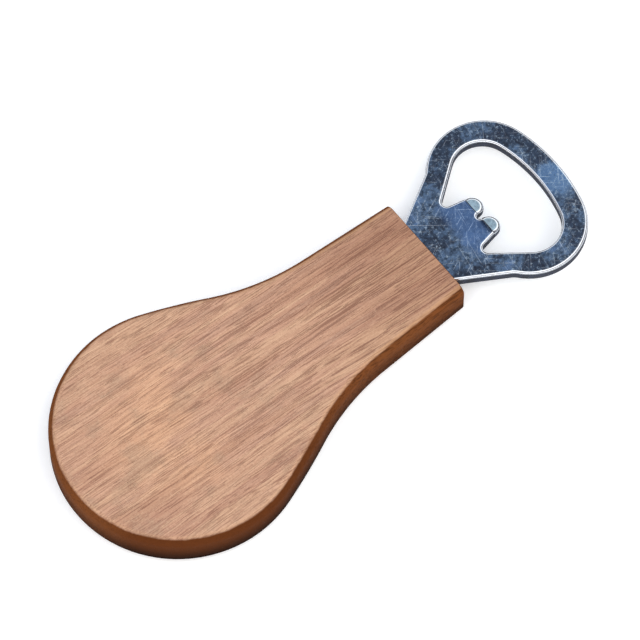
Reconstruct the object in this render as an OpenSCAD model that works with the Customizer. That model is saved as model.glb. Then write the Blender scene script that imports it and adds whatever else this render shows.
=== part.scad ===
// Souvenir bottle opener: a flat wooden handle with a stamped steel blade glued into its neck.
// It lies on its back. +X runs along the handle to the steel head, +Z is the front, and the
// origin is on the back plane under the middle of the whole length. Sizes are in millimetres.

/* [Handle] */
// Length of the wooden handle along the grain
handle_l = 94.5; // [85:0.5:125]
// Diameter of the round end
bulb_d = 55; // [46:0.5:70]
// Width of the neck at its cut end
neck_w = 26.4; // [22:0.2:34]
// Lean of each side of the neck, in degrees
neck_taper = 3.2; // [1:0.1:5]
// Radius of the hollow between the neck and the shoulder
waist_r = 55; // [35:1:75]
// Radius of the shallow curve of the shoulder
shoulder_r = 150; // [100:5:220]
// Where the shoulder leaves the round end, in degrees from the tip
shoulder_a = 110; // [100:1:118]
// Thickness of the board
board_t = 10; // [8:0.2:15]
// Radius of the rounded long edges
board_edge_r = 2.1; // [0.5:0.1:3]

/* [Blade] */
// Thickness of the steel sheet
sheet_t = 2.5; // [1.6:0.1:4]
// How far the head stands out of the neck
head_l = 36.1; // [33:0.1:46]
// Width across the loop
loop_w = 40.6; // [37:0.2:52]
// Outer radius of the loop's two corners
loop_corner_r = 12.8; // [10:0.2:15]
// Outer radius of the loop's far end
loop_end_r = 41.7; // [30:0.5:60]
// Width of the bars at the sides of the loop
side_bar_w = 5.4; // [4:0.1:6.5]
// Width of the bar at the far end of the loop
end_bar_w = 5.9; // [4:0.1:7]
// Width of the blade where it leaves the wood
root_w = 16.4; // [14:0.2:20]
// How deep the kink is where a flared side meets the loop
kink_depth = 0.9; // [0.4:0.1:2]
// Radius of the hollow in that kink
kink_r = 4; // [1:0.5:6]

/* [Tongue] */
// Clear distance from the prong tips to the far bar
mouth_l = 12.6; // [11:0.1:16]
// Diameter of each rounded prong
prong_d = 4.6; // [3.8:0.1:5.6]
// Clear gap between the two prongs
prong_gap = 1.1; // [0.6:0.1:1.6]
// How far the notch between the prongs reaches back behind their tips
notch_l = 3.3; // [3:0.1:5]
// How far the two pockets reach back behind the prong tips
pocket_l = 7.2; // [6:0.1:9]
// Radius at the bottom of each pocket
pocket_r = 1.05; // [0.8:0.05:1.5]
// Sideways distance from a prong's flank to the middle of its pocket
pocket_out = 1.9; // [1.8:0.1:3]
// Length of the sloped facet on each prong tip
facet_l = 3; // [1.5:0.1:4]
// Slope of that facet, in degrees
facet_a = 13; // [5:1:20]

/* [Tang] */
// Length of the tang inside the neck
tang_l = 26; // [18:0.5:34]
// Width of the tang
tang_w = 14.6; // [12:0.2:16]
// Diameter of the glue keys through the tang
key_d = 4; // [2.5:0.1:6]
// Number of glue keys
key_n = 2; // [1:1:3]

/* [Fit] */
// Glue gap above, below and at each side of the tang
glue_gap = 0.25; // [0.15:0.05:0.5]
// Glue gap at the blind end of the mortise
glue_end = 1; // [0.5:0.1:2]

/* [Hidden] */

wood_colour = "peru";
steel_colour = "lightsteelblue";
epoxy_colour = "khaki";
curve_error = 0.01; // how far a flat may cut inside the curve it stands for
edge_steps = 5; // flats that make up a rounded edge
over = 1; // how far a cutter runs past what it cuts
round_flats = 48; // flats round a small hole or a slot's side
same_point = 0.001; // places this close count as one

// Places along the length
overall_l = handle_l + head_l;
tip_x = -overall_l / 2;
bulb_x = tip_x + bulb_d / 2;
neck_x = tip_x + handle_l;
blade_z = (board_t - sheet_t) / 2;

// Handle: the round end, the shoulder and the waist are circles that touch one another
bulb_r = bulb_d / 2;
shoulder_c = [bulb_x, 0] + (shoulder_r - bulb_r) * [cos(shoulder_a), -sin(shoulder_a)];
neck_dir = [cos(neck_taper), -sin(neck_taper)];
neck_out = [sin(neck_taper), cos(neck_taper)];
waist_ref = [neck_x, neck_w / 2] + waist_r * neck_out - shoulder_c;
waist_back = waist_ref * neck_dir;
waist_sq = waist_ref * waist_ref - pow(shoulder_r + waist_r, 2);
waist_c = shoulder_c + waist_ref - (waist_back - sqrt(waist_back * waist_back - waist_sq)) * neck_dir;

// Loop: corner circles that touch the far end's circle from inside, outside and in the mouth
loop_end_c = [neck_x + head_l - loop_end_r, 0];
loop_corner_c = corner_centre(loop_w / 2, loop_corner_r, loop_end_r);
mouth_w = loop_w - 2 * side_bar_w;
mouth_end_r = loop_end_r - end_bar_w;
mouth_corner_r = mouth_radius(loop_corner_c[0] - loop_end_c[0], mouth_w / 2, mouth_end_r);
mouth_corner_c = [loop_corner_c[0], mouth_w / 2 - mouth_corner_r];

// Flared sides run from the root to just inside the corner circle, and a hollow joins the two
root = [neck_x, root_w / 2];
flare_in = loop_corner_r - kink_depth;
flare_a = heading([root[0], root[1], 0], [loop_corner_c[0], loop_corner_c[1], -flare_in]);
flare_dir = [cos(flare_a), sin(flare_a)];
flare_out = [-sin(flare_a), cos(flare_a)];
kink_out = flare_in + kink_r;
kink_back = sqrt(pow(loop_corner_r + kink_r, 2) - pow(kink_out, 2));
kink_c = loop_corner_c + kink_out * flare_out - kink_back * flare_dir;

// Tongue
prong_x = neck_x + head_l - end_bar_w - mouth_l;
prong_r = prong_d / 2;
prongs_w = 2 * prong_d + prong_gap;
prong_c = [prong_x - prong_r, prongs_w / 2 - prong_r];
notch_r = prong_gap / 2;
notch_c = [prong_x - notch_l + notch_r, 0];
pocket_c = [prong_x - pocket_l + pocket_r, prongs_w / 2 + pocket_out];
facet_x = prong_x - facet_l;

// Tang, glue keys and mortise
mortise_t = sheet_t + 2 * glue_gap;
mortise_side_y = tang_w / 2 + glue_gap - sqrt(pow(mortise_t, 2) - pow(sheet_t, 2)) / 2;
key_x = [for (i = [1:key_n]) neck_x - i * tang_l / (key_n + 1)];

// Centre of a corner circle whose top is at half_w and which touches the far circle inside
function corner_centre(half_w, r, end_r) =
    [loop_end_c[0] + sqrt(pow(end_r - r, 2) - pow(half_w - r, 2)), half_w - r];

// Radius of the circle at reach x that touches both the line y = half_w and the far circle
function mouth_radius(x, half_w, end_r) =
    (end_r * end_r - x * x - half_w * half_w) / (2 * (end_r - half_w));

// An outline is a run of circles [x, y, turn] that touch or are joined by straight lines. The
// turn is the radius, positive where the outline turns left round it and negative to the right.
function heading(a, b) =
    let (gap = [b[0] - a[0], b[1] - a[1]])
    atan2(gap[1], gap[0]) - asin(max(-1, min(1, (b[2] - a[2]) / norm(gap))));

// The nearest heading to `from` that is the same direction as `to`, on the side of the turn
function unwind(from, to, turn) =
    turn > 0 ? from + (to - from + 720) % 360 : from - (from - to + 720) % 360;

// Flats in an arc of this turn and angle
function flats(turn, angle) =
    max(2, ceil(abs(angle) / (2 * acos(1 - curve_error / abs(turn)))));

// True where circle b carries straight on from circle a, with no line between them
function touching(a, b) =
    abs(norm([b[0] - a[0], b[1] - a[1]]) - abs(b[2] - a[2])) < same_point;

// Points of a run of circles from heading `first` to heading `last`, moved `shift` to the left
function track(circles, first, last, shift = 0) =
    let (
        n = len(circles),
        between = [for (i = [0:n - 2]) heading(circles[i], circles[i + 1])],
        starts = [for (i = [0:n - 1]) i == 0 ? first : between[i - 1]],
        ends = [for (i = [0:n - 1]) unwind(starts[i], i == n - 1 ? last : between[i], circles[i][2])]
    )
    [
        for (i = [0:n - 1])
        let (
            c = circles[i],
            count = flats(c[2], ends[i] - starts[i]),
            skip = i > 0 && touching(circles[i - 1], c) ? 1 : 0
        )
        for (k = [skip:count])
        let (h = starts[i] + (ends[i] - starts[i]) * k / count)
        [c[0] + (c[2] - shift) * sin(h), c[1] - (c[2] - shift) * cos(h)]
    ];

function mirrored(points) =
    [for (i = [len(points) - 1:-1:0]) if (abs(points[i][1]) > same_point) [points[i][0], -points[i][1]]];

// Half of the handle, from the tip round the bulb to the corner of the neck
function handle_half(inset) =
    concat(
        track(
            [[bulb_x, 0, -bulb_r], [shoulder_c[0], shoulder_c[1], -shoulder_r], [waist_c[0], waist_c[1], waist_r]],
            90, -neck_taper, -inset
        ),
        [[neck_x, neck_w / 2 - inset / cos(neck_taper)]]
    );

function handle_outline(inset) =
    let (half = handle_half(inset))
    concat(half, mirrored(half));

// Half of the blade, from the end of the tang over the flare and the loop to the far bar
function blade_half() =
    concat(
        [[neck_x - tang_l, tang_w / 2], [neck_x, tang_w / 2], root],
        track(
            [
                [kink_c[0], kink_c[1], kink_r],
                [loop_corner_c[0], loop_corner_c[1], -loop_corner_r],
                [loop_end_c[0], 0, -loop_end_r]
            ],
            flare_a, -90
        )
    );

// Half of the mouth, from the notch round the prong and the pocket to the far bar
function mouth_half() =
    track(
        [
            [notch_c[0], 0, -notch_r],
            [prong_c[0], prong_c[1], prong_r],
            [pocket_c[0], pocket_c[1], -pocket_r],
            [mouth_corner_c[0], mouth_corner_c[1], -mouth_corner_r],
            [loop_end_c[0], 0, -mouth_end_r]
        ],
        90, -90
    );

// A closed solid through rings of equal point counts, one at each height
module rings_solid(rings, heights) {
    n = len(rings[0]);
    m = len(rings);
    points = [for (k = [0:m - 1]) for (p = rings[k]) [p[0], p[1], heights[k]]];
    bottom = [[for (i = [n - 1:-1:0]) i]];
    top = [[for (i = [0:n - 1]) (m - 1) * n + i]];
    sides = [
        for (k = [0:m - 2]) for (i = [0:n - 1])
            [k * n + i, k * n + (i + 1) % n, (k + 1) * n + (i + 1) % n, (k + 1) * n + i]
    ];
    polyhedron(points, concat(bottom, sides, top));
}

// The space for the tang in the neck: a slot with round sides, as a small cutter leaves it
module mortise(past_end) {
    length = tang_l + glue_end;
    translate([neck_x - length, 0, board_t / 2])
        rotate([90, 0, 90])
            linear_extrude(length + past_end)
                union() {
                    square([2 * mortise_side_y, mortise_t], center = true);
                    for (side = [-1, 1])
                        translate([side * mortise_side_y, 0])
                            circle(d = mortise_t, $fn = round_flats);
                }
}

module key_holes() {
    for (x = key_x)
        translate([x, 0, blade_z - over])
            cylinder(d = key_d, h = sheet_t + 2 * over, $fn = round_flats);
}

module prong_facets() {
    translate([facet_x, -prongs_w / 2 - over, blade_z + sheet_t])
        rotate([0, facet_a, 0])
            cube([facet_l + over, prongs_w + 2 * over, sheet_t]);
}

module wooden_handle() {
    angles = [for (i = [0:edge_steps]) 90 * i / edge_steps];
    insets = [for (a = angles) board_edge_r * (1 - sin(a))];
    lows = [for (a = angles) board_edge_r * (1 - cos(a))];
    rings = concat(
        [for (s = insets) handle_outline(s)],
        [for (i = [edge_steps:-1:0]) handle_outline(insets[i])]
    );
    heights = concat(lows, [for (i = [edge_steps:-1:0]) board_t - lows[i]]);
    color(wood_colour)
        difference() {
            rings_solid(rings, heights);
            mortise(over);
        }
}

module opener_blade() {
    blade = blade_half();
    mouth = mouth_half();
    color(steel_colour)
        difference() {
            translate([0, 0, blade_z])
                linear_extrude(sheet_t)
                    difference() {
                        polygon(concat(blade, mirrored(blade)));
                        polygon(concat(mouth, mirrored(mouth)));
                    }
            key_holes();
            prong_facets();
        }
}

module epoxy_bond() {
    color(epoxy_colour)
        difference() {
            mortise(0);
            difference() {
                translate([neck_x - tang_l, -tang_w / 2, blade_z])
                    cube([tang_l + over, tang_w, sheet_t]);
                key_holes();
            }
        }
}

wooden_handle();
opener_blade();
epoxy_bond();
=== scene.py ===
# %% [markdown]
# # A souvenir bottle opener
# A flat wooden handle with a round end, and a stamped steel blade glued into its neck. The
# frame gives every size and place; this lesson dresses it: a routed and sanded board, a
# pressed steel sheet with rolled edges, and the glue line between them.

import math
import bmesh
import bpy
from mathutils import Euler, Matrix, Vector


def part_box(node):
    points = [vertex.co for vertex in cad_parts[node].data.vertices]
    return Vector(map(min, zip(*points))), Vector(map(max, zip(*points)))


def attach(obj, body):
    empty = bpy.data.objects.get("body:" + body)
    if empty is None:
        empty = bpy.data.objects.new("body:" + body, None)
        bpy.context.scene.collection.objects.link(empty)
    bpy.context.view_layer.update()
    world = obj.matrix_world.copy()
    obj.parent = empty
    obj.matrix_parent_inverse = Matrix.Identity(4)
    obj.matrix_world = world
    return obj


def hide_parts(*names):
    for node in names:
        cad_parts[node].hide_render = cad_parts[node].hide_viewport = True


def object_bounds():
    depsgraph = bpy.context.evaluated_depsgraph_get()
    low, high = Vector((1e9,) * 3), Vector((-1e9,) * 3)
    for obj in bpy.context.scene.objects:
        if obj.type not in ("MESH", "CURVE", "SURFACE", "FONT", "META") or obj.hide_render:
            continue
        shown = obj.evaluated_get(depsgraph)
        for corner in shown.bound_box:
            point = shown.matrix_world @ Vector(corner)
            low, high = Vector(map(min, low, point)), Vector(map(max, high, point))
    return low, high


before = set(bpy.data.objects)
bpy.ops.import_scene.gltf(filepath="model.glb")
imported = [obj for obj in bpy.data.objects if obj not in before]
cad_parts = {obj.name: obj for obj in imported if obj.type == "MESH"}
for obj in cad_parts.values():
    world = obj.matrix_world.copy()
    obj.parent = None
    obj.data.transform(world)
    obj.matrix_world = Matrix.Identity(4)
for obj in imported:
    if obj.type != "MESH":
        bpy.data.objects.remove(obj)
cad_low, cad_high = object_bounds()
mm = 0.001
print("frame box in mm:", [round(x / mm, 2) for x in (*cad_low, *cad_high)])

# %% [markdown]
# ## Camera
# The opener is seen from the front left and well above, through a long lens from more than
# a metre away, so its outline hardly narrows with distance. The camera aims at a point near
# the middle of the opener, found from its box.

# %% Camera
view_azimuth = math.radians(-37.85)
view_elevation = math.radians(64.6)
view_roll = math.radians(-0.53)
view_distance = 1.272
view_lens = 335.3
film_width = 36
furthest_seen = 10
aim = (cad_low + cad_high) / 2 + Vector((2.08, 2.26, 0)) * mm

towards_camera = Vector((
    math.sin(view_azimuth) * math.cos(view_elevation),
    -math.cos(view_azimuth) * math.cos(view_elevation),
    math.sin(view_elevation),
))
camera_data = bpy.data.cameras.new("camera")
camera_data.lens = view_lens
camera_data.sensor_width = film_width
camera_data.clip_end = furthest_seen
camera = bpy.data.objects.new("camera", camera_data)
turn = Euler((math.pi / 2 - view_elevation, 0, view_azimuth)).to_matrix()
roll = Euler((0, 0, view_roll)).to_matrix()
camera.matrix_world = (turn @ roll).to_4x4()
camera.location = aim + towards_camera * view_distance
bpy.context.scene.collection.objects.link(camera)
bpy.context.scene.camera = camera
print("camera stands at", [round(x, 3) for x in camera.location])

# %% [markdown]
# ## Sizes
# The handle, the blade and the glue give their boxes, and both outlines are drawn from them.
# What a box can't say, such as the radius of the waist or of a prong, is named once, where it
# is first needed.

# %% Sizes
handle_low, handle_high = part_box("wooden_handle")
blade_low, blade_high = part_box("opener_blade")
glue_low, glue_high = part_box("epoxy_bond")

board_t = handle_high.z - handle_low.z
board_mid = (handle_high.z + handle_low.z) / 2
bulb_r = (handle_high.y - handle_low.y) / 2
bulb_x = handle_low.x + bulb_r
neck_x = handle_high.x

sheet_t = blade_high.z - blade_low.z
loop_half = blade_high.y
far_x = blade_high.x
tang_x = blade_low.x
print("board", round(board_t / mm, 2), "thick, sheet", round(sheet_t / mm, 2), "thick")

# %% [markdown]
# ## Drawing an outline
# Both outlines are runs of circles that touch one another or are joined by straight lines, as
# a draughtsman draws them. Each circle is written as its centre and a turn: its radius,
# positive where the outline turns left round it and negative where it turns right. The walk
# below also gives the outward direction at each point, which both trees need later.

# %% Outline walker
same_place = 0.001 * mm


def heading(a, b):
    """Direction of the straight line that leaves circle a and meets circle b."""
    gap = Vector((b[0] - a[0], b[1] - a[1]))
    lean = max(-1, min(1, (b[2] - a[2]) / gap.length))
    return math.atan2(gap.y, gap.x) - math.asin(lean)


def touching(a, b):
    """True where one circle lies inside the other and meets it in one point."""
    return abs(math.hypot(b[0] - a[0], b[1] - a[1]) - abs(b[2] - a[2])) < same_place


def walk(circles, first, last, curve_error=0.002 * mm):
    """Points and left-hand directions along a run of circles."""
    points = []
    start = first
    for i, (x, y, turn) in enumerate(circles):
        end = last if i == len(circles) - 1 else heading(circles[i], circles[i + 1])
        full = 2 * math.pi
        end = start + (end - start) % full if turn > 0 else start - (start - end) % full
        step = 2 * math.acos(1 - curve_error / abs(turn))
        count = max(2, math.ceil(abs(end - start) / step))
        skip = 1 if i and touching(circles[i - 1], circles[i]) else 0
        for k in range(skip, count + 1):
            h = start + (end - start) * k / count
            place = Vector((x + turn * math.sin(h), y - turn * math.cos(h), 0))
            points.append((place, Vector((-math.sin(h), math.cos(h), 0))))
        start = end
    return points


quarter = walk([(0, 0, 10 * mm)], 0, math.pi / 2)
print("a quarter circle of 10 mm takes", len(quarter), "points")

# %% [markdown]
# The board's outline is a round end, a long shallow shoulder, a hollow waist and a straight
# neck that narrows a little towards its cut end. The waist's circle has to touch both the
# shoulder and the line of the neck, so its centre is worked out, and the run has no corners.

# %% Outline of the board
neck_half = 13.2 * mm
neck_taper = math.radians(3.2)
waist_r = 55 * mm
shoulder_r = 150 * mm
shoulder_turn = math.radians(110)

shoulder_c = Vector((bulb_x, 0)) + (shoulder_r - bulb_r) * Vector(
    (math.cos(shoulder_turn), -math.sin(shoulder_turn)))
neck_dir = Vector((math.cos(neck_taper), -math.sin(neck_taper)))
neck_out = Vector((math.sin(neck_taper), math.cos(neck_taper)))
waist_ref = Vector((neck_x, neck_half)) + waist_r * neck_out - shoulder_c
waist_back = waist_ref.dot(neck_dir)
waist_sq = waist_ref.length_squared - (shoulder_r + waist_r) ** 2
waist_c = shoulder_c + waist_ref - (waist_back - math.sqrt(waist_back ** 2 - waist_sq)) * neck_dir

board_half = walk(
    [(bulb_x, 0, -bulb_r), (*shoulder_c, -shoulder_r), (*waist_c, waist_r)],
    math.pi / 2, -neck_taper)
board_half.append((Vector((neck_x, neck_half, 0)), neck_out.to_3d()))
print("board outline has", len(board_half), "points a side")

# %% [markdown]
# The blade is a closed loop with a bowed far bar, held by two arms that flare from the wood
# with a small bend in each. The mouth follows the loop inside, and reaches back round a
# tongue that is split into two prongs, with a pocket on each side. The tang, inside the wood,
# is a plain strip.

# %% Outline of the loop
loop_corner_r = 12.8 * mm
loop_end_r = 41.7 * mm
root_half = 8.2 * mm
kink_depth = 0.9 * mm
kink_r = 4 * mm

loop_end_c = Vector((far_x - loop_end_r, 0))
corner_reach = math.sqrt((loop_end_r - loop_corner_r) ** 2 - (loop_half - loop_corner_r) ** 2)
loop_corner_c = loop_end_c + Vector((corner_reach, loop_half - loop_corner_r))

root = Vector((neck_x, root_half))
flare_in = loop_corner_r - kink_depth
flare = heading((*root, 0), (*loop_corner_c, -flare_in))
flare_dir = Vector((math.cos(flare), math.sin(flare)))
flare_out = Vector((-math.sin(flare), math.cos(flare)))
kink_out = flare_in + kink_r
kink_back = math.sqrt((loop_corner_r + kink_r) ** 2 - kink_out ** 2)
kink_c = loop_corner_c + kink_out * flare_out - kink_back * flare_dir

head_half = walk(
    [(*kink_c, kink_r), (*loop_corner_c, -loop_corner_r), (*loop_end_c, -loop_end_r)],
    flare, -math.pi / 2)
print("the arms flare at", round(math.degrees(flare), 1), "degrees")

# %% Outline of the mouth
side_bar_w = 5.4 * mm
end_bar_w = 5.9 * mm
mouth_l = 12.6 * mm
prong_r = 2.3 * mm
prong_gap = 1.1 * mm
notch_l = 3.3 * mm
pocket_l = 7.2 * mm
pocket_r = 1.05 * mm
pocket_out = 1.9 * mm

mouth_half_w = loop_half - side_bar_w
mouth_end_r = loop_end_r - end_bar_w
mouth_corner_r = (mouth_end_r ** 2 - corner_reach ** 2 - mouth_half_w ** 2) / (
    2 * (mouth_end_r - mouth_half_w))
mouth_corner_c = Vector((loop_corner_c.x, mouth_half_w - mouth_corner_r))
prongs_half = 2 * prong_r + prong_gap / 2
prong_x = far_x - end_bar_w - mouth_l
prong_c = Vector((prong_x - prong_r, prongs_half - prong_r))
notch_r = prong_gap / 2
pocket_c = Vector((prong_x - pocket_l + pocket_r, prongs_half + pocket_out))

mouth_half = walk(
    [(prong_x - notch_l + notch_r, 0, -notch_r), (*prong_c, prong_r), (*pocket_c, -pocket_r),
     (*mouth_corner_c, -mouth_corner_r), (*loop_end_c, -mouth_end_r)],
    math.pi / 2, -math.pi / 2)
print("the mouth is", round(2 * mouth_half_w / mm, 1), "mm wide")

# %% Outline of the tang
tang_half = 7.3 * mm
side = Vector((0, 1, 0))
back = Vector((-1, 0, 0))
tang_half_run = [
    (Vector((tang_x, tang_half, 0)), back + side),
    (Vector((neck_x, tang_half, 0)), side + back),
    (root.to_3d(), (flare_out.to_3d() + back) / (1 + flare_out.to_3d().dot(back))),
]
blade_half = tang_half_run + head_half
print("blade outline has", len(blade_half), "and its mouth", len(mouth_half), "points a side")

# %% [markdown]
# ## Building node trees
# Geometry Nodes and shaders are both trees of nodes. One small class wraps a socket, so that
# ordinary arithmetic on it adds Math nodes, and one method adds any other node: its settings
# first, then the values or links of its sockets.


# %% Socket arithmetic
class Flow:
    """A socket that can be added to, multiplied and so on."""

    def __init__(self, graph, socket):
        self.graph = graph
        self.socket = socket

    def calc(self, operation, *others, clamp=False):
        settings = {"operation": operation, "use_clamp": clamp}
        return self.graph.node("ShaderNodeMath", settings, dict(enumerate((self, *others))))

    def other(self, name):
        """Another output of the same node."""
        return Flow(self.graph, self.socket.node.outputs[name])

    def __add__(self, b):
        return self.calc("ADD", b)

    def __sub__(self, b):
        return self.calc("SUBTRACT", b)

    def __mul__(self, b):
        return self.calc("MULTIPLY", b)

    def __truediv__(self, b):
        return self.calc("DIVIDE", b)

    def __pow__(self, b):
        return self.calc("POWER", b)

    def __rsub__(self, b):
        return self * -1 + b

    def __abs__(self):
        return self.calc("ABSOLUTE")

    __radd__ = __add__
    __rmul__ = __mul__


# %% Tree helper
class Graph:
    """A node tree that is written as Python expressions."""

    def __init__(self, tree):
        self.tree = tree

    def node(self, kind, settings=None, values=None, out=0):
        made = self.tree.nodes.new(kind)
        for key, value in (settings or {}).items():
            setattr(made, key, value)
        for key, value in (values or {}).items():
            for item in value if isinstance(value, list) else [value]:
                if isinstance(item, Flow):
                    self.tree.links.new(item.socket, made.inputs[key])
                else:
                    made.inputs[key].default_value = item
        return Flow(self, made.outputs[out]) if made.outputs else None

    def vector(self, operation, *values, out=0):
        settings = {"operation": operation}
        return self.node("ShaderNodeVectorMath", settings, dict(enumerate(values)), out)

    def scaled(self, vector, factor):
        values = {0: vector, "Scale": factor}
        return self.node("ShaderNodeVectorMath", {"operation": "SCALE"}, values)

    def joined(self, x, y, z):
        return self.node("ShaderNodeCombineXYZ", None, {0: x, 1: y, 2: z})

    def parts(self, vector):
        x = self.node("ShaderNodeSeparateXYZ", None, {0: vector})
        return x, x.other("Y"), x.other("Z")

    def ramp(self, value, low, high, to_low=0.0, to_high=1.0):
        """Eases from to_low to to_high as value goes from low to high, and stays there."""
        values = {"Value": value, "From Min": low, "From Max": high}
        values.update({"To Min": to_low, "To Max": to_high})
        return self.node("ShaderNodeMapRange", {"interpolation_type": "SMOOTHSTEP"}, values)


# %% [markdown]
# ## Looks, in one helper
# A finish is one Principled shader, or two mixed, whose colour, roughness and bump come from
# noise in Object coordinates, so it stays with the piece. Colours are written as on a paint
# card, from 0 to 255, and turned into the linear values that shaders expect.


# %% Material helper
def card(red, green, blue):
    """A paint-card colour as the linear colour of a shader."""
    def linear(c):
        return c / 12.92 if c <= 0.04045 else ((c + 0.055) / 1.055) ** 2.4

    return (*(linear(c / 255) for c in (red, green, blue)), 1)


print("a card's mid grey is", round(card(128, 128, 128)[0], 3), "to a shader")


class Finish(Graph):
    """A material that is written as Python expressions on places in millimetres."""

    def __init__(self, name):
        self.material = bpy.data.materials.new(name)
        self.material.use_nodes = True
        super().__init__(self.material.node_tree)
        self.tree.nodes.clear()
        where = self.node("ShaderNodeTexCoord", out="Object")
        self.place = self.scaled(where, 1 / mm)
        self.x, self.y, self.z = self.parts(self.place)
        self.nx, self.ny, self.nz = self.parts(where.other("Normal"))

    def noise(self, vector, scale=1.0, detail=2.0, rough=0.5):
        values = {"Vector": vector, "Scale": scale, "Detail": detail, "Roughness": rough}
        return self.node("ShaderNodeTexNoise", None, values)

    def mix(self, amount, a, b, blend="MIX"):
        settings = {"data_type": "RGBA", "blend_type": blend}
        return self.node("ShaderNodeMix", settings, {0: amount, 6: a, 7: b}, out=2)

    def bump(self, height, distance, strength=1.0):
        values = {"Height": height, "Distance": distance, "Strength": strength}
        return self.node("ShaderNodeBump", None, values)

    def shader(self, varying, fixed):
        return self.node("ShaderNodeBsdfPrincipled", None, {**varying, **fixed})

    def end(self, shader):
        self.node("ShaderNodeOutputMaterial", None, {"Surface": shader})
        print("finish", self.material.name, "has", len(self.tree.nodes), "nodes")
        return self.material


# %% [markdown]
# ## The wood
# The board is a reddish brown wood with long open pores, wiped with oil. A flat brown would
# look like plastic. Real grain is the same three-dimensional pattern cut by each face, so the
# noise is drawn out along the board and read in three dimensions: long dashes on the faces,
# dots on the sawn end. Slow noise bends the grain, and wider noise gives the tan, rosy and greyish
# bands. The middle of the round end is painted lighter, partly polish from palms and partly a
# painted highlight, and faint greyish smudges are left round it.

# %% Grain
timber = Finish("oiled_wood")
drift = timber.noise(
    timber.joined(timber.x * 0.013, timber.y * 0.05, timber.z * 0.05), detail=1) - 0.5
ripple = timber.noise(
    timber.joined(timber.x * 0.11, timber.y * 0.25, timber.z * 0.25), detail=2) - 0.5
grain_lean = 0.03
grain_y = timber.y + drift * 5 + ripple * 0.6 + timber.x * grain_lean
grain_z = timber.z + drift * 4 - ripple * 0.6


def along_grain(stretch, across, shift=0.0, detail=2.0, rough=0.5):
    """Noise drawn out along the board: features of 1 / stretch by 1 / across millimetres."""
    vector = timber.joined(timber.x * stretch + shift, grain_y * across, grain_z * across)
    return timber.noise(vector, detail=detail, rough=rough)


broad = along_grain(0.008, 0.13, 7.3, 4, 0.65)
bands = along_grain(0.016, 0.45, 2.1, 3, 0.65)
streaks = along_grain(0.02, 2.4, 9.2, 3, 0.65)
fibres = along_grain(0.07, 3.6, 11.7, 3, 0.7)
blotch = timber.noise(timber.place, scale=0.05, detail=3, rough=0.55)
speckle = timber.noise(timber.place, scale=2.2, detail=3, rough=0.7)
print("the grain is read from", len(timber.tree.nodes), "nodes")

# %% Wood colours
tan_wood, salmon_wood = card(209, 168, 136), card(202, 157, 130)
rosy_wood, grey_wood = card(174, 126, 101), card(158, 126, 108)
# The polished tan is lighter partly from polish and partly as a painted highlight.
polished_and_highlit_wood, handled_wood = card(224, 174, 135), card(168, 139, 114)
fibre_brown, pale_grain, dark_grain = card(150, 105, 83), card(218, 182, 152), card(140, 98, 78)
# The worn tan of the edges is partly wear and partly a painted highlight.
pore_brown, wear_and_highlight_tan, neck_shade = card(112, 68, 52), card(190, 142, 100), card(220, 212, 207)
# The side colours are painted shade: brown at the top of the side, near black at its foot.
shaded_side_top, shaded_side_foot = card(110, 64, 34), card(34, 18, 11)
# This pair is painted deep shade for the near side of the round end.
deep_shade_top, deep_shade_foot = card(88, 46, 21), card(13, 7, 5)
side_streak, side_pore = card(122, 68, 34), card(38, 19, 11)
print("reflectance of the tan wood", [round(c, 2) for c in tan_wood[:3]])

# %% Bands, fibres and wear of the faces
wood_colour = timber.mix(timber.ramp(bands, 0.35, 0.6), tan_wood, salmon_wood)
wood_colour = timber.mix(timber.ramp(broad, 0.45, 0.7) * 0.65, wood_colour, rosy_wood)
wood_colour = timber.mix(timber.ramp(bands, 0.52, 0.72) * 0.5, wood_colour, grey_wood)
wood_colour = timber.mix(timber.ramp(streaks, 0.42, 0.66) * 0.42, wood_colour, rosy_wood)
from_bulb = timber.vector(
    "LENGTH", timber.joined(timber.x - bulb_x / mm, timber.y, 0), out="Value")
# Lighter middle of the round end: partly polish, partly a painted highlight.
rubbed_and_highlit = timber.ramp(blotch, 0.44, 0.58) * timber.ramp(from_bulb, 8, 22, 1, 0.15)
wood_colour = timber.mix(rubbed_and_highlit * 0.55, wood_colour, polished_and_highlit_wood)
smudges = timber.noise(timber.place, scale=0.11, detail=5, rough=0.65)
smudges = timber.ramp(smudges, 0.48, 0.66) * timber.ramp(timber.x, -24, -6, 0.52, 0.08)
wood_colour = timber.mix(smudges, wood_colour, handled_wood)
wood_colour = timber.mix(timber.ramp(fibres, 0.4, 0.64) * 0.47, wood_colour, fibre_brown)
wood_colour = timber.mix(timber.ramp(speckle, 0.52, 0.7) * 0.35, wood_colour, pale_grain)
wood_colour = timber.mix(timber.ramp(speckle, 0.48, 0.32) * 0.3, wood_colour, dark_grain)
print("with the wear of the faces", len(timber.tree.nodes), "nodes")

# %% Pores
crowd = timber.ramp(along_grain(0.015, 0.5, 5.5), 0.35, 0.65, -0.03, 0.03)
long_pores = timber.ramp(along_grain(0.055, 3.6, 3.9, 1.5) + crowd, 0.575, 0.64)
long_pores = long_pores * timber.ramp(timber.x, -50, -5, 0.5, 1)
short_pores = timber.ramp(along_grain(0.17, 5.0, 8.8, 1) + crowd, 0.59, 0.67)
pores = long_pores.calc("MAXIMUM", short_pores * 0.85)
wood_colour = timber.mix(pores * 0.58, wood_colour, pore_brown)
print("with the pores", len(timber.tree.nodes), "nodes")

# %% [markdown]
# The narrow sides are painted darker as shade, darkest towards the bottom, and the near side of
# the round end is painted deeper shade still. They stay matt, while the sanded faces have a
# satin shine, so two shaders are mixed by which way the surface faces. The neck is a little
# darker than the round end, and the corner of the rounding is painted pale along the neck,
# partly wear and partly a painted highlight.

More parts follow.
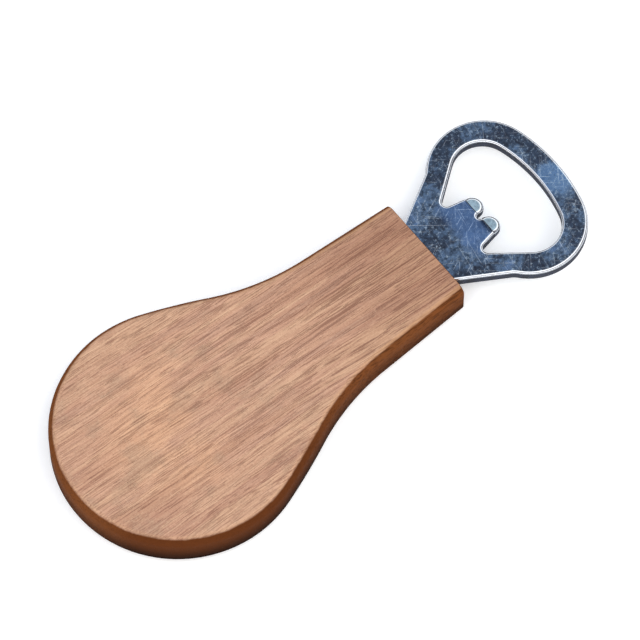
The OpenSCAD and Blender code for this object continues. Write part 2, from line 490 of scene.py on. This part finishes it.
# %% Sides painted with shade, and edges worn and highlit
flatness = abs(timber.nz)
wobble = (timber.noise(timber.place, scale=0.35, detail=2) - 0.5) * 0.14
side_wall = timber.ramp(flatness + wobble, 0.78, 0.95, 1, 0)
sawn_end = timber.ramp(timber.nx, 0.75, 0.95)
# Mask of the sides, which are painted darker as shade and made matt.
shaded_matt_sides = side_wall * (1 - sawn_end * 0.75)
low_down = timber.ramp(timber.z, 0.5, board_t / mm - 1, 1, 0)
towards_neck = timber.ramp(timber.x, -12, 30)

wood_colour = timber.mix(towards_neck * 0.9, wood_colour, neck_shade, "MULTIPLY")
# Painted shade on the sides, darker towards the bottom.
side_colour = timber.mix(low_down, shaded_side_top, shaded_side_foot)
side_colour = timber.mix(timber.ramp(streaks, 0.4, 0.62) * 0.35, side_colour, side_streak)
side_colour = timber.mix(pores * 0.5, side_colour, side_pore)
# Painted deep shade on the near side of the round end, towards the bulb.
near_side_shade = timber.ramp(timber.y, -4, -17) * timber.ramp(timber.x, 5, -25)
deep_shade_colour = timber.mix(low_down, deep_shade_top, deep_shade_foot)
side_colour = timber.mix(near_side_shade * 0.9, side_colour, deep_shade_colour)
wood_colour = timber.mix(shaded_matt_sides, wood_colour, side_colour)
# Pale band on the corner of the rounding: partly wear, partly a painted highlight.
edge_wear_and_highlight = timber.ramp(flatness, 0.8, 0.93) * timber.ramp(flatness, 0.95, 0.998, 1, 0)
edge_wear_and_highlight = edge_wear_and_highlight * timber.ramp(timber.x, -25, 15, 0.35, 1)
wood_colour = timber.mix(edge_wear_and_highlight * 0.5, wood_colour, wear_and_highlight_tan)
print("with the sides", len(timber.tree.nodes), "nodes")

# %% Satin faces and matt sides
pore_depth = 0.05 * mm
wood_bump = timber.bump(fibres * 0.3 + speckle * 0.15 - pores, pore_depth, 0.8)
wood_rough = 0.46 + pores * 0.2 + speckle * 0.1
satin_face = timber.shader(
    {"Base Color": wood_colour, "Roughness": wood_rough, "Normal": wood_bump},
    {"Specular IOR Level": 0.3})
matt_side = timber.shader(
    {"Base Color": wood_colour, "Roughness": 0.75, "Normal": wood_bump},
    {"Specular IOR Level": 0.02})
oiled_wood = timber.end(timber.node(
    "ShaderNodeMixShader", None, {0: shaded_matt_sides, 1: satin_face, 2: matt_side}))

# %% [markdown]
# ## The steel
# The blade is pressed from sheet and plated, then handled: grey-blue mottling, dull stains,
# small pits and fine scratches. All of it is noise again. The face keeps a soft mirror, caps
# have rubbed one place on the far bar brighter, and the two coined tips are paler than the
# tongue, their teal partly the coined metal and partly a painted reflection; a painted shadow
# lies behind the coin step. The rolled rims carry a painted highlight with one painted dark band
# of reflection, and the sheared wall below them is painted nearly black as shade and matt, so
# it has a shader of its own.

# %% Mottling and scratches
steel = Finish("handled_steel")
mottle = steel.noise(steel.place, scale=0.8, detail=7, rough=0.75)
stains = steel.noise(steel.place, scale=0.14, detail=4, rough=0.6)
pits = steel.noise(steel.place, scale=1.5, detail=5, rough=0.75)


def scratches(degrees, length, width, shift, low):
    """Thin marks that run at one angle across the face."""
    angle = math.radians(degrees)
    along = Vector((math.cos(angle), math.sin(angle))) / length
    across = Vector((-math.sin(angle), math.cos(angle))) / width
    u = steel.x * along.x + steel.y * along.y + shift
    v = steel.x * across.x + steel.y * across.y + (stains - 0.5) * 2
    line = steel.noise(steel.joined(u, v, steel.z * 0.2), detail=0)
    return steel.ramp(line, low, low + 0.12)


marks = scratches(25, 5, 0.13, 3.1, 0.75)
for more in ((-38, 6, 0.12, 9.4, 0.75), (80, 7, 0.14, 1.7, 0.73), (55, 6, 0.12, 6.2, 0.75)):
    marks = marks.calc("MAXIMUM", scratches(*more))
print("mottling and scratches take", len(steel.tree.nodes), "nodes")

# %% Steel colours
dull_steel, clear_steel = card(84, 92, 102), card(172, 184, 196)
stain_grey, cloud_blue, rubbed_blue = card(78, 72, 76), card(178, 196, 220), card(178, 206, 232)
pit_dark, pit_bright, scratch_bright = card(48, 48, 54), card(222, 234, 238), card(226, 236, 248)
# The dark behind the coin step is a painted shadow.
tongue_blue, step_shadow_dark = card(138, 166, 206), card(40, 42, 50)
# The tips' teal is partly the coined metal and partly a painted reflection.
tip_dull, tip_clear = card(80, 106, 118), card(132, 164, 178)
# Painted highlight of the rims, and the painted dark band of reflection within them.
rim_highlight, dark_band_reflection = card(236, 240, 246), card(76, 70, 80)
# Painted shade of the sheared wall.
wall_shade_dark, wall_shade_blue = card(9, 12, 24), card(28, 35, 56)
print("reflectance of the clear steel", [round(c, 2) for c in clear_steel[:3]])

# %% Plated face
bright_spots = steel.ramp(pits, 0.53, 0.68)
dark_spots = steel.ramp(pits, 0.44, 0.32)
steel_colour = steel.mix(steel.ramp(mottle, 0.36, 0.62), dull_steel, clear_steel)
steel_colour = steel.mix(steel.ramp(stains, 0.48, 0.56) * 0.7, steel_colour, stain_grey)
steel_colour = steel.mix(steel.ramp(stains, 0.42, 0.34) * 0.6, steel_colour, cloud_blue)
rub_x, rub_y = far_x / mm - 3, -3
from_rub = steel.vector(
    "LENGTH", steel.joined(steel.x - rub_x, steel.y - rub_y, 0), out="Value")
cap_rub = steel.ramp(from_rub + (mottle - 0.5) * 9, 2.8, 5.2, 1, 0)
steel_colour = steel.mix(cap_rub * 0.75, steel_colour, rubbed_blue)
steel_colour = steel.mix(dark_spots * 0.5, steel_colour, pit_dark)
steel_colour = steel.mix(bright_spots * 0.7, steel_colour, pit_bright)
steel_colour = steel.mix(marks * 0.22, steel_colour, scratch_bright)
print("with the plated face", len(steel.tree.nodes), "nodes")

# %% Tongue and coined tips
facet_l = 3 * mm
facet_x = prong_x - facet_l
prong_end, coin_start, prongs_out = prong_x / mm, facet_x / mm, prongs_half / mm
tongue = steel.ramp(abs(steel.y), 5.5, 8.5, 1, 0) * steel.ramp(steel.x, 36, 39)
tongue = tongue * steel.ramp(steel.x, prong_end, prong_end + 2, 1, 0)
steel_colour = steel.mix(tongue * 0.55, steel_colour, tongue_blue)
coined = steel.ramp(steel.x, coin_start, coin_start + 0.3)
coined = coined * steel.ramp(steel.x, prong_end, prong_end + 0.5, 1, 0)
coined = coined * steel.ramp(abs(steel.y), prongs_out, prongs_out + 0.5, 1, 0)
# Painted shadow just behind the coin step, stronger towards the -y prong.
step_shadow = steel.ramp(steel.x, coin_start - 1.2, coin_start - 0.1) * tongue
step_shadow = step_shadow * steel.ramp(steel.y, 0.3, -1.5) * (1 - coined)
steel_colour = steel.mix(step_shadow * 0.8, steel_colour, step_shadow_dark)
# Tips painted teal: partly the coined metal, partly a painted reflection of their slope.
tip_shade = steel.mix(steel.ramp(mottle, 0.35, 0.6), tip_dull, tip_clear)
steel_colour = steel.mix(coined * 0.9, steel_colour, tip_shade)
print("with the tongue", len(steel.tree.nodes), "nodes")

# %% Rims and walls
tilt = abs(steel.nz)
# Painted highlight on the rolled rims.
rolled = steel.ramp(tilt, 0.93, 0.99, 1, 0)
steel_colour = steel.mix(rolled * 0.85, steel_colour, rim_highlight)
# Painted dark band of reflection within the rolled rims.
rim_dark_band = steel.ramp(tilt, 0.72, 0.78) * steel.ramp(tilt, 0.84, 0.9, 1, 0)
steel_colour = steel.mix(rim_dark_band * 0.85, steel_colour, dark_band_reflection)
# The sheared wall is painted nearly black as shade.
sheared = steel.ramp(tilt, 0.35, 0.6, 1, 0)
shaded_wall_colour = steel.mix(steel.ramp(mottle, 0.36, 0.62), wall_shade_dark, wall_shade_blue)
print("with the rims", len(steel.tree.nodes), "nodes")

# %% Mirror faces and matt walls
pit_depth = 0.04 * mm
steel_rough = steel.ramp(mottle, 0.3, 0.7, 0.3, 0.2) + marks * 0.1 + bright_spots * 0.12
steel_rough = steel_rough * (1 - rolled * 0.65)
steel_bump = steel.bump(mottle * 0.6 + pits * 0.4 - marks * 0.5, pit_depth, 0.7)
plated_face = steel.shader(
    {"Base Color": steel_colour, "Roughness": steel_rough, "Normal": steel_bump},
    {"Metallic": 1.0})
matt_shaded_wall = steel.shader(
    {"Base Color": shaded_wall_colour, "Roughness": 0.6, "Normal": steel_bump},
    {"Specular IOR Level": 0.03})
handled_steel = steel.end(steel.node(
    "ShaderNodeMixShader", None, {0: sheared * 0.95, 1: plated_face, 2: matt_shaded_wall}))

# %% [markdown]
# ## The glue
# The glue is a clear amber resin that shows only as a hair line round the steel where it
# enters the wood. It is the frame's own solid, so it only needs a finish: amber, cloudy where
# air was stirred in, and glossy.

# %% Glue finish
resin = Finish("amber_resin")
cloud = resin.noise(resin.place, scale=0.8, detail=3)
dark_amber, pale_amber = card(120, 78, 40), card(176, 130, 78)
resin_colour = resin.mix(resin.ramp(cloud, 0.35, 0.7), dark_amber, pale_amber)
amber_resin = resin.end(resin.shader(
    {"Base Color": resin_colour, "Roughness": resin.ramp(cloud, 0.3, 0.7, 0.12, 0.3),
     "Normal": resin.bump(cloud, 0.03 * mm, 0.5)},
    {"IOR": 1.52}))

# %% [markdown]
# ## The handle
# The real handle is a board that was sawn to an outline, run past a rounding cutter, cut
# square at the neck, slotted from that end and sanded. Extruding the outline and adding a
# bevel would do, but then the rounding couldn't wander as sanding makes it. So a grid is laid
# over the outline instead: each column belongs to one outline point, and each row to one
# place on the section, from the middle of the front face over the rounding and down the side
# to the middle of the back. A Geometry Nodes tree moves the grid's points there and cuts the
# slot with a Boolean.


# %% Outlines as edges
def spaced(points, longest):
    """Cuts long straight stretches so that no step is longer than the one given."""
    out = [points[0]]
    for place, out_dir in points[1:]:
        last_place, last_dir = out[-1]
        pieces = math.ceil((place - last_place).length / longest)
        for k in range(1, pieces):
            t = k / pieces
            out.append((last_place.lerp(place, t), last_dir.lerp(out_dir, t).normalized()))
        out.append((place, out_dir))
    return out


def outline_mesh(name, loops):
    """A mesh of edges along each loop, with the outward direction kept on its points."""
    places, edges, outward = [], [], []
    for points, closed, side in loops:
        base = len(places)
        places += [p for p, _ in points]
        outward += [n * side for _, n in points]
        edges += [(base + i, base + i + 1) for i in range(len(points) - 1)]
        if closed:
            edges.append((base + len(points) - 1, base))
    mesh = bpy.data.meshes.new(name)
    mesh.from_pydata(places, edges, [])
    layer = mesh.attributes.new("outward", "FLOAT_VECTOR", "POINT")
    layer.data.foreach_set("vector", [c for n in outward for c in n])
    return mesh


# %% Columns of the board's grid
end_softening = 0.3 * mm
end_steps = 5
outline_step = 0.7 * mm

straight_out = Vector((0, 1 / math.cos(neck_taper), 0))
board_run = spaced(board_half, outline_step)
corner = board_run.pop()[0]
for k in range(end_steps + 1):
    lean = math.pi / 2 * k / end_steps
    back_off = end_softening * (1 - math.sin(lean)) / math.cos(neck_taper)
    softened = Vector((0, 0, end_softening * (1 - math.cos(lean))))
    board_run.append((corner - back_off * neck_dir.to_3d() + softened, straight_out))

other_side = [(Vector((p.x, -p.y, p.z)), Vector((n.x, -n.y, 0))) for p, n in board_run[:0:-1]]
end_middle = [(Vector((neck_x, 0, 0)), Vector((0, 0, 0)))]
board_walk = end_middle + other_side + board_run + end_middle
board_lines = outline_mesh("board_columns", [(board_walk, False, 1)])
print("the board's grid has", len(board_walk), "columns")

# %% [markdown]
# The board and the blade each grow from one tree. Every size is a named input of its tree,
# set on the modifier before it runs, and the result is kept as a plain mesh. A check then
# prints whether the skin is closed, and the shading is evened out.


# %% Growing a mesh
def geometry_tree(name, sizes):
    """A Geometry Nodes tree with one named input for each size, and those inputs as flows."""
    tree = bpy.data.node_groups.new(name, "GeometryNodeTree")
    sockets = {"Geometry": "NodeSocketGeometry"}
    for size, value in sizes.items():
        sockets[size] = "NodeSocketInt" if isinstance(value, int) else "NodeSocketFloat"
    sockets["Material"] = "NodeSocketMaterial"
    for socket, kind in sockets.items():
        tree.interface.new_socket(socket, in_out="INPUT", socket_type=kind)
    tree.interface.new_socket("Geometry", in_out="OUTPUT", socket_type="NodeSocketGeometry")
    graph = Graph(tree)
    entry = tree.nodes.new("NodeGroupInput")
    return graph, {s.name: Flow(graph, s) for s in entry.outputs if s.name}


def end_tree(graph, geometry, material):
    """Every tree ends in Realize Instances and Set Material."""
    real = graph.node("GeometryNodeRealizeInstances", None, {"Geometry": geometry})
    dressed = graph.node("GeometryNodeSetMaterial", None, {"Geometry": real, "Material": material})
    graph.node("NodeGroupOutput", None, {0: dressed})


def baked(piece):
    """Turns an object with modifiers into a plain mesh and takes the modifiers off."""
    bpy.context.view_layer.update()
    graph = bpy.context.evaluated_depsgraph_get()
    result = bpy.data.meshes.new_from_object(piece.evaluated_get(graph), depsgraph=graph)
    result.name = piece.name
    piece.modifiers.clear()
    piece.data = result


def grown(name, mesh, graph, sizes, material):
    """Runs a Geometry Nodes tree on a mesh, with these sizes, and keeps the result."""
    piece = bpy.data.objects.new(name, mesh)
    bpy.context.scene.collection.objects.link(piece)
    modifier = piece.modifiers.new(graph.tree.name, "NODES")
    modifier.node_group = graph.tree
    for item in graph.tree.interface.items_tree:
        if item.in_out == "INPUT" and item.name in sizes:
            modifier[item.identifier] = sizes[item.name]
        if item.in_out == "INPUT" and item.name == "Material":
            modifier[item.identifier] = material
    baked(piece)
    return piece


# %% Measuring and shading a mesh
def report_mesh(piece):
    """Prints what a builder would check: size, whether it is closed, and its volume."""
    shape = bmesh.new()
    shape.from_mesh(piece.data)
    open_edges = sum(not e.is_manifold for e in shape.edges)
    volume = shape.calc_volume(signed=True) / mm ** 3
    sides = [[v.co[i] for v in shape.verts] for i in range(3)]
    sizes = [round((max(s) - min(s)) / mm, 2) for s in sides]
    print(piece.name, sizes, "mm,", len(shape.faces), "faces,", open_edges, "open,",
          round(volume), "mm3")
    shape.free()


def even_shading(piece, sharp_angle):
    """Keeps flats flat and roundings round: sharp edges by angle, then weighted normals."""
    piece.data.set_sharp_from_angle(angle=sharp_angle)
    weighted = piece.modifiers.new("weighted normals", "WEIGHTED_NORMAL")
    weighted.keep_sharp = True
    baked(piece)


# %% Geometry Nodes: routed board
waves_per_metre = 55.0
board_sizes = {
    "Thickness": board_t,
    "Middle": board_mid,
    "Edge radius": 2.1 * mm,
    "Sanding": 0.35 * mm,
    "Bulb x": bulb_x,
    "Neck x": neck_x,
    "Wall rows": 3,
    "Round rows": 9,
    "Cap rows": 6,
    "Slot start": glue_low.x,
    "Slot width": glue_high.y - glue_low.y,
    "Slot height": glue_high.z - glue_low.z,
    "Seed": 4.0,
}
board, size = geometry_tree("routed board", board_sizes)
columns = board.node(
    "GeometryNodeAttributeDomainSize", {"component": "MESH"}, {"Geometry": size["Geometry"]})
half_rows = size["Wall rows"] + size["Round rows"] + size["Cap rows"]
rows = half_rows * 2 + 1
grid = board.node("GeometryNodeMeshGrid", None, {"Vertices X": columns, "Vertices Y": rows})

index = board.node("GeometryNodeInputIndex")
column = (index / rows).calc("FLOOR")
from_middle = half_rows - (index - column * rows)
row = abs(from_middle)


def on_outline(value):
    """Reads a value from this column's outline point."""
    values = {"Geometry": size["Geometry"], "Value": value, "Index": column}
    return board.node("GeometryNodeSampleIndex", {"data_type": "FLOAT_VECTOR"}, values)


outward = on_outline(board.node(
    "GeometryNodeInputNamedAttribute", {"data_type": "FLOAT_VECTOR"}, {"Name": "outward"}))
place = on_outline(board.node("GeometryNodeInputPosition"))
place_x, _, softening = board.parts(place)
wander = board.node(
    "ShaderNodeTexNoise", {"noise_dimensions": "4D"},
    {"Vector": place, "W": size["Seed"], "Scale": waves_per_metre, "Detail": 2.0}) - 0.5

up_wall = row.calc("DIVIDE", size["Wall rows"], clamp=True)
past_wall = row - size["Wall rows"]
over_edge = past_wall.calc("DIVIDE", size["Round rows"], clamp=True) * (math.pi / 2)
past_edge = past_wall - size["Round rows"]
to_spine = past_edge.calc("DIVIDE", size["Cap rows"], clamp=True) ** 3
print("the grid's rows take", len(board.tree.nodes), "nodes")

# %% Geometry Nodes: section of the board
edge_r = size["Edge radius"] - softening + wander * size["Sanding"]
inset = softening + edge_r * (1 - over_edge.calc("COSINE"))
half_t = size["Thickness"] / 2 - softening
height = (half_t - edge_r) * up_wall + edge_r * over_edge.calc("SINE")
not_end = board.vector("LENGTH", outward, out="Value").calc("MINIMUM", 1)
spine_x = place_x.calc("MAXIMUM", size["Bulb x"]).calc("MINIMUM", size["Neck x"])
rim_x, rim_y, _ = board.parts(board.vector("SUBTRACT", place, board.scaled(outward, inset)))
moved = board.joined(
    rim_x + (spine_x - rim_x) * to_spine,
    rim_y * (1 - to_spine),
    height * not_end * from_middle.calc("SIGN") + size["Middle"])
shell = board.node("GeometryNodeSetPosition", None, {"Geometry": grid, "Position": moved})
shell = board.node(
    "GeometryNodeMergeByDistance", None, {"Geometry": shell, "Distance": same_place})
print("the board's tree has", len(board.tree.nodes), "nodes so far")

# %% Geometry Nodes: slot of the board
past_end = 2 * mm
slot_corner_steps = 12
nearly_half = 0.49
slot_end = board.node(
    "GeometryNodeCurvePrimitiveQuadrilateral", None,
    {"Width": size["Slot width"], "Height": size["Slot height"]})
slot_end = board.node(
    "GeometryNodeFilletCurve", {"mode": "POLY"},
    {"Curve": slot_end, "Count": slot_corner_steps,
     "Radius": size["Slot height"] * nearly_half})
slot_line = board.node(
    "GeometryNodeCurvePrimitiveLine", None,
    {"Start": board.joined(size["Slot start"], 0, size["Middle"]),
     "End": board.joined(size["Neck x"] + past_end, 0, size["Middle"])})
cutter = board.node(
    "GeometryNodeCurveToMesh", None,
    {"Curve": slot_line, "Profile Curve": slot_end, "Fill Caps": True})
slotted = board.node(
    "GeometryNodeMeshBoolean", {"operation": "DIFFERENCE", "solver": "EXACT"},
    {"Mesh 1": shell, "Mesh 2": cutter})
slotted = board.node("GeometryNodeSetShadeSmooth", None, {"Geometry": slotted})
end_tree(board, slotted, size["Material"])

handle = grown("handle_board", board_lines, board, board_sizes, oiled_wood)
board_sharp = math.radians(35)
even_shading(handle, board_sharp)
report_mesh(handle)

# %% [markdown]
# ## The blade
# A press punches the blade from sheet. The punch drags the upper edge down into a wide
# rounding, shears a straight wall and leaves a small break below. An extrusion with a bevel
# would round both edges alike. All loops, the outside, the mouth and the two holes in the
# tang, have that same edge, so it follows a rule: a tree draws the loops out step by step
# along the edge's profile and fills the two faces.


# %% Loops of the blade
def mirrored(points):
    """The same walk on the other side of the long axis, run backwards."""
    flipped = [(Vector((p.x, -p.y, 0)), Vector((n.x, -n.y, 0))) for p, n in reversed(points)]
    return [q for q in flipped if abs(q[0].y) > same_place]


longest_step = 1.5 * mm
outer_loop = spaced(blade_half + mirrored(blade_half), longest_step)
mouth_loop = spaced(mouth_half + mirrored(mouth_half), longest_step)
key_count = 2
key_r = 2 * mm
key_points = 48
key_loops = []
for number in range(1, key_count + 1):
    hole_x = neck_x - (neck_x - tang_x) * number / (key_count + 1)
    rim = []
    for k in range(key_points):
        angle = 2 * math.pi * k / key_points
        spoke = Vector((math.cos(angle), math.sin(angle), 0))
        rim.append((Vector((hole_x, 0, 0)) + key_r * spoke, -spoke))
    key_loops.append((rim, True, 1))
blade_loops = [(outer_loop, True, 1), (mouth_loop, True, -1)] + key_loops
blade_lines = outline_mesh("blade_loops", blade_loops)
print("the blade's loops have", len(blade_lines.vertices), "points")

# %% Geometry Nodes: stamped edge
blade_sizes = {
    "Thickness": sheet_t,
    "Middle": (blade_low.z + blade_high.z) / 2,
    "Roll width": 0.85 * mm,
    "Roll depth": 0.8 * mm,
    "Break": 0.25 * mm,
    "Margin": 0.12 * mm,
}
roll_steps = 10
break_steps = 4
stamp, size = geometry_tree("stamped edge", blade_sizes)
outward = stamp.node(
    "GeometryNodeInputNamedAttribute", {"data_type": "FLOAT_VECTOR"}, {"Name": "outward"})
top = size["Middle"] + size["Thickness"] / 2
bottom = size["Middle"] - size["Thickness"] / 2

profile = [(size["Roll width"] + size["Margin"], top)]
for k in range(roll_steps + 1):
    lean = math.pi / 2 * k / roll_steps
    profile.append((size["Roll width"] * (1 - math.sin(lean)),
                    top - size["Roll depth"] * (1 - math.cos(lean))))
for k in range(break_steps + 1):
    lean = math.pi / 2 * k / break_steps
    profile.append((size["Break"] * (1 - math.cos(lean)),
                    bottom + size["Break"] * (1 - math.sin(lean))))
profile.append((size["Break"] + size["Margin"], bottom))
print("the edge's profile has", len(profile), "steps")


# %% Geometry Nodes: wall and faces of the sheet
def step_to(inset, height):
    """The move from a loop on the sheet's outline to one step of the profile."""
    return stamp.vector("ADD", stamp.scaled(outward, inset * -1), stamp.joined(0, 0, height))


def filled(inset, height):
    """One face of the sheet, with its holes."""
    offset = stamp.scaled(outward, inset * -1)
    loop = stamp.node(
        "GeometryNodeSetPosition", None, {"Geometry": size["Geometry"], "Offset": offset})
    loop = stamp.node("GeometryNodeMeshToCurve", None, {"Mesh": loop})
    face = stamp.node("GeometryNodeFillCurve", None, {0: loop})
    lift = stamp.joined(0, 0, height)
    return stamp.node("GeometryNodeSetPosition", None, {"Geometry": face, "Offset": lift})


wall = stamp.node(
    "GeometryNodeSetPosition", None,
    {"Geometry": size["Geometry"], "Offset": step_to(*profile[0])})
last_edges = True
for (inset, height), (next_inset, next_height) in zip(profile, profile[1:]):
    wall = stamp.node(
        "GeometryNodeExtrudeMesh", {"mode": "EDGES"},
        {"Mesh": wall, "Selection": last_edges, "Offset Scale": 0.0})
    last_edges = wall.other("Top")
    offset = step_to(next_inset - inset, next_height - height)
    wall = stamp.node(
        "GeometryNodeSetPosition", None,
        {"Geometry": wall, "Selection": last_edges, "Offset": offset})
faces = [filled(*profile[0]), filled(*profile[-1])]
sheet = stamp.node("GeometryNodeJoinGeometry", None, {"Geometry": [wall, *faces]})
sheet = stamp.node(
    "GeometryNodeMergeByDistance", None, {"Geometry": sheet, "Distance": same_place})
sheet = stamp.node("GeometryNodeSetShadeSmooth", None, {"Geometry": sheet})
end_tree(stamp, sheet, size["Material"])

blade = grown("pressed_blade", blade_lines, stamp, blade_sizes, handled_steel)
report_mesh(blade)

# %% [markdown]
# ## Coining the prongs
# The two prongs grip the cap's skirt, so a second press stroke thins their tips: a small step
# down across both, and a slope from there to the ends. The mesh is cut on two lines across
# the prongs, and everything beyond them is squeezed towards the back of the sheet.

# %% Coined tips
facet_slope = math.tan(math.radians(13))
coin_step = 0.2 * mm
coin_run = 0.25 * mm
reach_past = 0.1 * mm
cut_error = 1e-7
blade_sharp = math.radians(24)
shape = bmesh.new()
shape.from_mesh(blade.data)


def on_prongs(v):
    return abs(v.co.y) < prongs_half + reach_past and v.co.x < prong_x + reach_past


for cut_x in (facet_x, facet_x + coin_run):
    near = [f for f in shape.faces
            if min(v.co.x for v in f.verts) < cut_x < max(v.co.x for v in f.verts)
            and any(on_prongs(v) for v in f.verts)]
    parts = set(near)
    for face in near:
        parts.update(face.edges)
        parts.update(face.verts)
    bmesh.ops.bisect_plane(
        shape, geom=list(parts), dist=cut_error, plane_co=(cut_x, 0, 0), plane_no=(1, 0, 0))
tips = [v for v in shape.verts if v.co.x > facet_x and on_prongs(v)]
deepest = 0
for v in tips:
    past = v.co.x - facet_x
    drop = coin_step * min(1, past / coin_run) + facet_slope * max(0, past - coin_run)
    deepest = max(deepest, drop)
    v.co.z = blade_low.z + (v.co.z - blade_low.z) * (1 - drop / sheet_t)
bmesh.ops.recalc_face_normals(shape, faces=shape.faces)
shape.to_mesh(blade.data)
shape.free()
even_shading(blade, blade_sharp)
report_mesh(blade)
print("coined", len(tips), "points, tips", round((sheet_t - deepest) / mm, 2), "mm thick")

# %% [markdown]
# ## Putting it together
# Nothing moves on this opener: the three pieces are glued for good, so the board and the blade
# ride on one body.

# %% Bodies and slots
for piece, node, finish_slot in ((handle, "wooden_handle", "handle_wood"),
                                 (blade, "opener_blade", "plated_steel")):
    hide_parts(node)
    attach(piece, "root")
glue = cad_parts["epoxy_bond"]
glue.data.materials.clear()
glue.data.materials.append(amber_resin)
print("two pieces ride on the one body, and the glue has its finish")

# %% [markdown]
# ## Floor and light
# The opener lies on a plain white table that glows a little, so its shadow stays soft. Round
# it stands a white light tent, brighter in front than behind, with a dark gap just above the
# table. The tent is open at the top towards a dim blue room, and that is what the flat steel
# mirrors, while its rolled edges catch the bright wall of the tent and the gap. Lamps would
# leave their own shapes in the steel, so the World alone gives the light.

# %% Floor
reach = 3.0
table_gap = 0.05 * mm
table_glow = 0.22
corners = [(-reach, -reach, 0), (reach, -reach, 0), (reach, reach, 0), (-reach, reach, 0)]
floor_mesh = bpy.data.meshes.new("floor")
floor_mesh.from_pydata(corners, [], [(0, 1, 2, 3)])
floor = bpy.data.objects.new("floor", floor_mesh)
floor.location.z = cad_low.z - table_gap
bpy.context.scene.collection.objects.link(floor)
paper = Finish("white_table")
paper_grain = paper.noise(paper.place, scale=0.5, detail=3)
paper_colour = paper.mix(paper_grain, card(246, 246, 246), card(252, 252, 252))
floor_mesh.materials.append(paper.end(paper.shader(
    {"Base Color": paper_colour,
     "Roughness": paper.ramp(paper_grain, 0.2, 0.8, 0.85, 0.95)},
    {"Specular IOR Level": 0.1, "Emission Color": (1, 1, 1, 1), "Emission Strength": table_glow})))
print("the table is", 2 * reach, "m wide")

# %% Light tent
world = bpy.data.worlds.new("light tent")
world.use_nodes = True
bpy.context.scene.world = world
tent = Graph(world.node_tree)
tent.tree.nodes.clear()
direction = tent.node("ShaderNodeTexCoord", out="Generated")
opening = Vector((0.12, 0.42, 0.90)).normalized()
front = Vector((-0.4, -0.92, 0)).normalized()
dim_room = (0.20, 0.30, 0.47, 1)
behind_light, front_light, gap_light = 1.35, 1.95, 0.06
in_opening = tent.ramp(
    tent.vector("DOT_PRODUCT", direction, tuple(opening), out="Value"), 0.78, 0.93)
wall_light = tent.ramp(
    tent.vector("DOT_PRODUCT", direction, tuple(front), out="Value"), -0.7, 0.7,
    behind_light, front_light)
above_gap = tent.ramp(tent.parts(direction)[2], 0.2, 0.3, gap_light, 1)
wall_light = wall_light * above_gap
tent_colour = tent.node(
    "ShaderNodeMix", {"data_type": "RGBA"},
    {0: in_opening, 6: tent.joined(wall_light, wall_light, wall_light),
     7: dim_room}, out=2)
glow = tent.node("ShaderNodeBackground", None, {"Color": tent_colour, "Strength": 1.0})
tent.node("ShaderNodeOutputWorld", None, {"Surface": glow})
bpy.context.scene.view_settings.view_transform = "Standard"
print("the tent has", len(tent.tree.nodes), "nodes")
